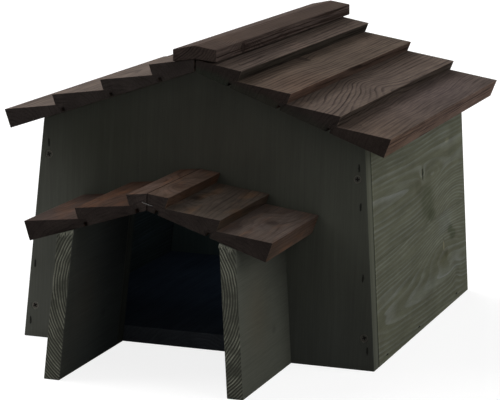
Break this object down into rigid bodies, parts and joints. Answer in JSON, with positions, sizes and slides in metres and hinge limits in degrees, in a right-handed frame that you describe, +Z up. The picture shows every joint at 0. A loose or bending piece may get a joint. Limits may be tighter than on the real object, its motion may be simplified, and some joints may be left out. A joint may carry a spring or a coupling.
{
  "type": "hedgehog house",
  "caption": "Wooden hedgehog house with leaning walls, a gable roof of overlapping siding whose left half lifts off, and a roofed porch before the doorway.",
  "frame": {"origin": "on the ground, at the middle of the whole footprint, porch and roof overhangs included", "axes": "+Z up, -Y towards the porch and the doorway, +X to the right as seen from the front"},
  "size_m": [0.3968, 0.6126, 0.3117],
  "materials": {
    "green_wood": "dark grey-green stain, matt",
    "brown_siding": "dark brown stain, matt",
    "red_brown_siding": "red-brown stain, matt",
    "plain_pine": "planed, untreated",
    "steel": "zinc plated"
  },
  "bodies": {
    "house": {"front_panel": "green_wood", "back_panel": "green_wood", "left_wall": "green_wood", "right_wall": "green_wood", "floor_panel": "green_wood", "porch_left_wall": "green_wood", "porch_right_wall": "green_wood", "right_board_1": "brown_siding", "right_board_2": "brown_siding", "right_board_3": "brown_siding", "right_board_4": "brown_siding", "porch_left_board_1": "red_brown_siding", "porch_left_board_2": "red_brown_siding", "porch_left_board_3": "red_brown_siding", "porch_right_board_1": "red_brown_siding", "porch_right_board_2": "red_brown_siding", "porch_right_board_3": "red_brown_siding", "front_screw_left_lower": "steel", "porch_screw_left_lower": "steel", "front_screw_left_upper": "steel", "porch_screw_left_upper": "steel", "porch_left_board_1_nail": "steel", "porch_left_board_2_nail": "steel", "porch_left_board_3_nail": "steel", "front_screw_right_lower": "steel", "porch_screw_right_lower": "steel", "front_screw_right_upper": "steel", "porch_screw_right_upper": "steel", "porch_right_board_1_nail": "steel", "porch_right_board_2_nail": "steel", "porch_right_board_3_nail": "steel", "right_board_1_front_nail": "steel", "right_board_1_rear_nail": "steel", "right_board_2_front_nail": "steel", "right_board_2_rear_nail": "steel", "right_board_3_front_nail": "steel", "right_board_3_rear_nail": "steel", "right_board_4_front_nail": "steel", "right_board_4_rear_nail": "steel", "porch_ridge_staple": "steel"},
    "lid": {"left_board_1": "brown_siding", "left_board_2": "brown_siding", "left_board_3": "brown_siding", "left_board_4": "brown_siding", "ridge_cap": "brown_siding", "lid_batten_front": "plain_pine", "lid_screw_1_front": "steel", "lid_screw_2_front": "steel", "lid_screw_3_front": "steel", "lid_screw_4_front": "steel", "lid_batten_rear": "plain_pine", "lid_screw_1_rear": "steel", "lid_screw_2_rear": "steel", "lid_screw_3_rear": "steel", "lid_screw_4_rear": "steel", "cap_nail_front": "steel", "cap_nail_middle": "steel", "cap_nail_rear": "steel"}
  },
  "joints": [
    {"name": "lid_lift", "type": "slide", "parent": "house", "child": "lid", "axis": [0, 0, 1], "range_m": [0, 0.12]}
  ]
}
